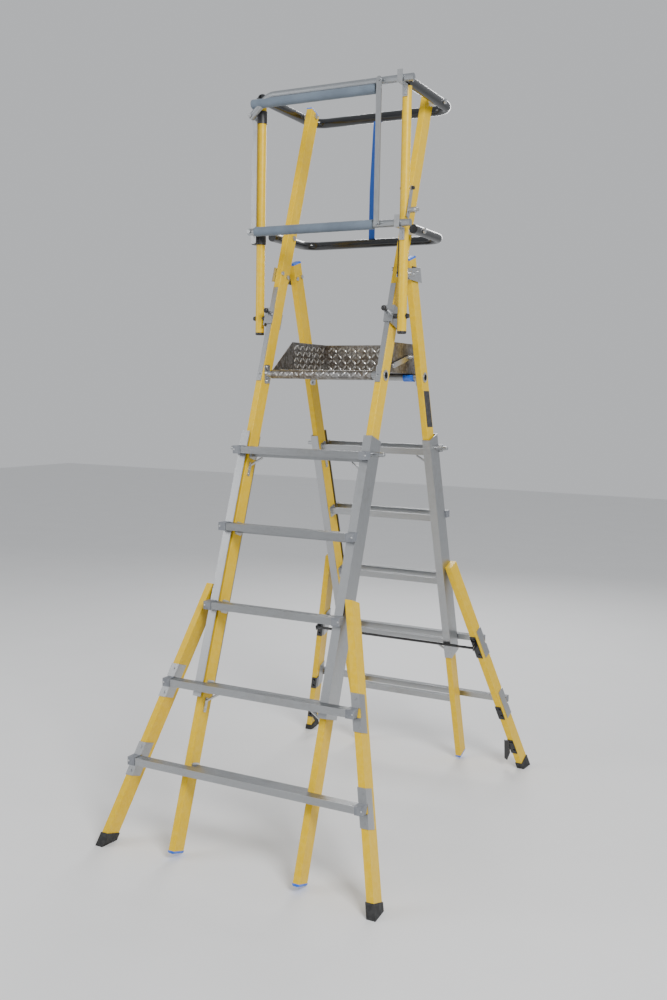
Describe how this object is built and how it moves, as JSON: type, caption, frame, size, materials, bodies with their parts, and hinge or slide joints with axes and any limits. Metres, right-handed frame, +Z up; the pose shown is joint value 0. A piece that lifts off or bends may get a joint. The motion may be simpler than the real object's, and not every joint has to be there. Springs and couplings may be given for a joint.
{
  "type": "platform step ladder",
  "caption": "Folding two-sided platform step ladder with glass-fibre stiles, aluminium treads, flared telescopic legs, a chequer-plate deck and a gated guard rail.",
  "frame": {"origin": "on the ground, at the middle between the four feet", "axes": "+Z up, +X to the right as the user climbs the front treads, +Y from the front treads to the rear frame"},
  "size_m": [1.1234, 1.6098, 2.7954],
  "materials": {
    "grp_yellow": "pultruded glass-fibre resin, satin gloss, faint lengthwise grain",
    "ribbed_aluminium": "extruded, fine ribs, light brushing",
    "mill_aluminium": "mill finish",
    "chequer_aluminium": "rolled chequer plate, slightly oxidised",
    "zinc_steel": "zinc plated",
    "black_steel": "gloss black coating",
    "grey_steel_tube": "dull galvanised tube",
    "blue_plastic": "moulded, semi gloss",
    "grey_plastic": "moulded, fine texture",
    "black_plastic": "moulded, fine texture",
    "black_rubber": "ribbed sole",
    "white_nylon": "turned nylon",
    "grey_foam": "closed-cell foam sleeve",
    "blue_webbing": "woven webbing"
  },
  "bodies": {
    "front_frame": {"front_stile_left": "grp_yellow", "front_stile_right": "grp_yellow", "front_stile_caps": "blue_plastic", "front_rungs": "ribbed_aluminium", "front_brackets": "zinc_steel", "front_platform_tube": "ribbed_aluminium", "front_hinge_plates": "zinc_steel", "track_strips": "mill_aluminium", "rail_spacers": "white_nylon"},
    "front_base": {"front_channel_left": "mill_aluminium", "front_channel_right": "mill_aluminium", "front_leg_left": "grp_yellow", "front_leg_right": "grp_yellow", "front_treads": "ribbed_aluminium", "front_tread_caps": "grey_plastic", "front_tread_saddles": "mill_aluminium", "front_feet": "black_rubber"},
    "rear_frame": {"rear_stile_left": "grp_yellow", "rear_stile_right": "grp_yellow", "rear_stile_caps": "blue_plastic", "rear_rungs": "ribbed_aluminium", "rear_brackets": "zinc_steel", "rear_platform_tube": "ribbed_aluminium", "rear_hinge_plates": "zinc_steel", "hinge_packers": "black_plastic", "deck_clip": "blue_plastic"},
    "rear_base": {"rear_channel_left": "mill_aluminium", "rear_channel_right": "mill_aluminium", "rear_leg_left": "grp_yellow", "rear_leg_right": "grp_yellow", "rear_treads": "ribbed_aluminium", "rear_tread_caps": "grey_plastic", "rear_tread_saddles": "mill_aluminium", "rear_feet": "black_rubber", "rear_leg_brackets": "black_steel"},
    "platform": {"deck_plate": "chequer_aluminium", "toe_boards": "chequer_aluminium"},
    "stays": {"stay_links": "zinc_steel"},
    "top_rail": {"top_hoop": "black_steel", "top_hoop_bolts": "zinc_steel"},
    "posts": {"guard_post_left": "grp_yellow", "guard_post_right": "grp_yellow", "post_fittings": "black_plastic", "gate_hooks": "zinc_steel", "gate_hinge_bar": "mill_aluminium"},
    "mid_rail": {"mid_hoop": "black_steel", "safety_strap": "blue_webbing"},
    "saddles": {"post_saddles": "mill_aluminium"},
    "plunger_knob_left": {"plunger_left": "black_plastic"},
    "plunger_knob_right": {"plunger_right": "black_plastic"},
    "gate_lower": {"gate_low_rail": "grey_steel_tube", "gate_low_foam": "grey_foam"},
    "gate_upper": {"gate_top_rail": "grey_steel_tube", "gate_top_foam": "grey_foam"},
    "gate_connector": {"gate_link": "mill_aluminium"},
    "latch": {"latch_lever": "zinc_steel"},
    "front_pin_left": {"front_lock_left": "mill_aluminium"},
    "front_pin_right": {"front_lock_right": "mill_aluminium"},
    "rear_pin_left": {"rear_lock_left": "mill_aluminium"},
    "rear_pin_right": {"rear_lock_right": "mill_aluminium"}
  },
  "joints": [
    {"name": "frame_fold", "type": "hinge", "parent": "front_frame", "child": "rear_frame", "pos_m": [0, 0, 2.097], "axis": [-1, 0, 0], "range_deg": [0, 36.4]},
    {"name": "deck_fold", "type": "hinge", "parent": "front_frame", "child": "platform", "pos_m": [0, -0.1867, 1.713], "axis": [1, 0, 0], "range_deg": [0, 75]},
    {"name": "stay_fold", "type": "hinge", "parent": "rear_frame", "child": "stays", "pos_m": [0, 0.1396, 1.792], "axis": [1, 0, 0], "range_deg": [-30, 0]},
    {"name": "front_extend", "type": "slide", "parent": "front_frame", "child": "front_base", "axis": [0, -0.3123, -0.95], "range_m": [0, 0.884]},
    {"name": "rear_extend", "type": "slide", "parent": "rear_frame", "child": "rear_base", "axis": [0, 0.3123, -0.95], "range_m": [0, 0.884]},
    {"name": "rail_fold", "type": "hinge", "parent": "front_frame", "child": "top_rail", "pos_m": [0, 0.1668, 2.764], "axis": [1, 0, 0], "range_deg": [0, 60], "deforming": ["safety_strap"]},
    {"name": "post_swing", "type": "hinge", "parent": "top_rail", "child": "posts", "pos_m": [0, -0.137, 2.764], "axis": [1, 0, 0], "range_deg": [-78, 0]},
    {"name": "mid_fold", "type": "hinge", "parent": "front_frame", "child": "mid_rail", "pos_m": [0, 0.0028, 2.254], "axis": [1, 0, 0], "range_deg": [0, 58]},
    {"name": "saddle_slide", "type": "slide", "parent": "front_frame", "child": "saddles", "axis": [0, -0.3123, -0.95], "range_m": [0, 0.25]},
    {"name": "plunger_pull_left", "type": "slide", "parent": "saddles", "child": "plunger_knob_left", "axis": [0, -0.95, 0.3123], "range_m": [0, 0.008], "stiffness_N_per_m": 800, "springref_m": -0.006},
    {"name": "plunger_pull_right", "type": "slide", "parent": "saddles", "child": "plunger_knob_right", "axis": [0, -0.95, 0.3123], "range_m": [0, 0.008], "stiffness_N_per_m": 800, "springref_m": -0.006},
    {"name": "gate_lift", "type": "hinge", "parent": "posts", "child": "gate_lower", "pos_m": [-0.32, -0.1845, 2.256], "axis": [0, -1, 0], "range_deg": [0, 65]},
    {"name": "gate_upper_lift", "type": "hinge", "parent": "posts", "child": "gate_upper", "pos_m": [-0.32, -0.1845, 2.69], "axis": [0, -1, 0], "range_deg": [0, 76]},
    {"name": "gate_link_turn", "type": "hinge", "parent": "gate_lower", "child": "gate_connector", "pos_m": [0.225, -0.1845, 2.256], "axis": [0, -1, 0], "range_deg": [-52, 0]},
    {"name": "latch_turn", "type": "hinge", "parent": "posts", "child": "latch", "pos_m": [0.325, -0.1245, 2.388], "axis": [1, 0, 0], "range_deg": [0, 40], "stiffness_Nm_per_rad": 0.6, "springref_deg": -17.19},
    {"name": "front_lock_left_pull", "type": "slide", "parent": "front_base", "child": "front_pin_left", "axis": [-1, 0, 0], "range_m": [0, 0.018], "stiffness_N_per_m": 800, "springref_m": -0.006},
    {"name": "front_lock_right_pull", "type": "slide", "parent": "front_base", "child": "front_pin_right", "axis": [1, 0, 0], "range_m": [0, 0.018], "stiffness_N_per_m": 800, "springref_m": -0.006},
    {"name": "rear_lock_left_pull", "type": "slide", "parent": "rear_base", "child": "rear_pin_left", "axis": [-1, 0, 0], "range_m": [0, 0.018], "stiffness_N_per_m": 800, "springref_m": -0.006},
    {"name": "rear_lock_right_pull", "type": "slide", "parent": "rear_base", "child": "rear_pin_right", "axis": [1, 0, 0], "range_m": [0, 0.018], "stiffness_N_per_m": 800, "springref_m": -0.006}
  ],
  "couplings": [
    {"joint": "deck_fold", "follows": "frame_fold", "ratio": 2},
    {"joint": "stay_fold", "follows": "frame_fold", "ratio": -0.703},
    {"joint": "post_swing", "follows": "rail_fold", "ratio": -1.264},
    {"joint": "mid_fold", "follows": "rail_fold", "ratio": 0.9},
    {"joint": "saddle_slide", "follows": "rail_fold", "m_per_rad": 0.23253},
    {"joint": "gate_upper_lift", "follows": "gate_lift", "ratio": 1.134},
    {"joint": "gate_link_turn", "follows": "gate_lift", "ratio": -0.742}
  ]
}
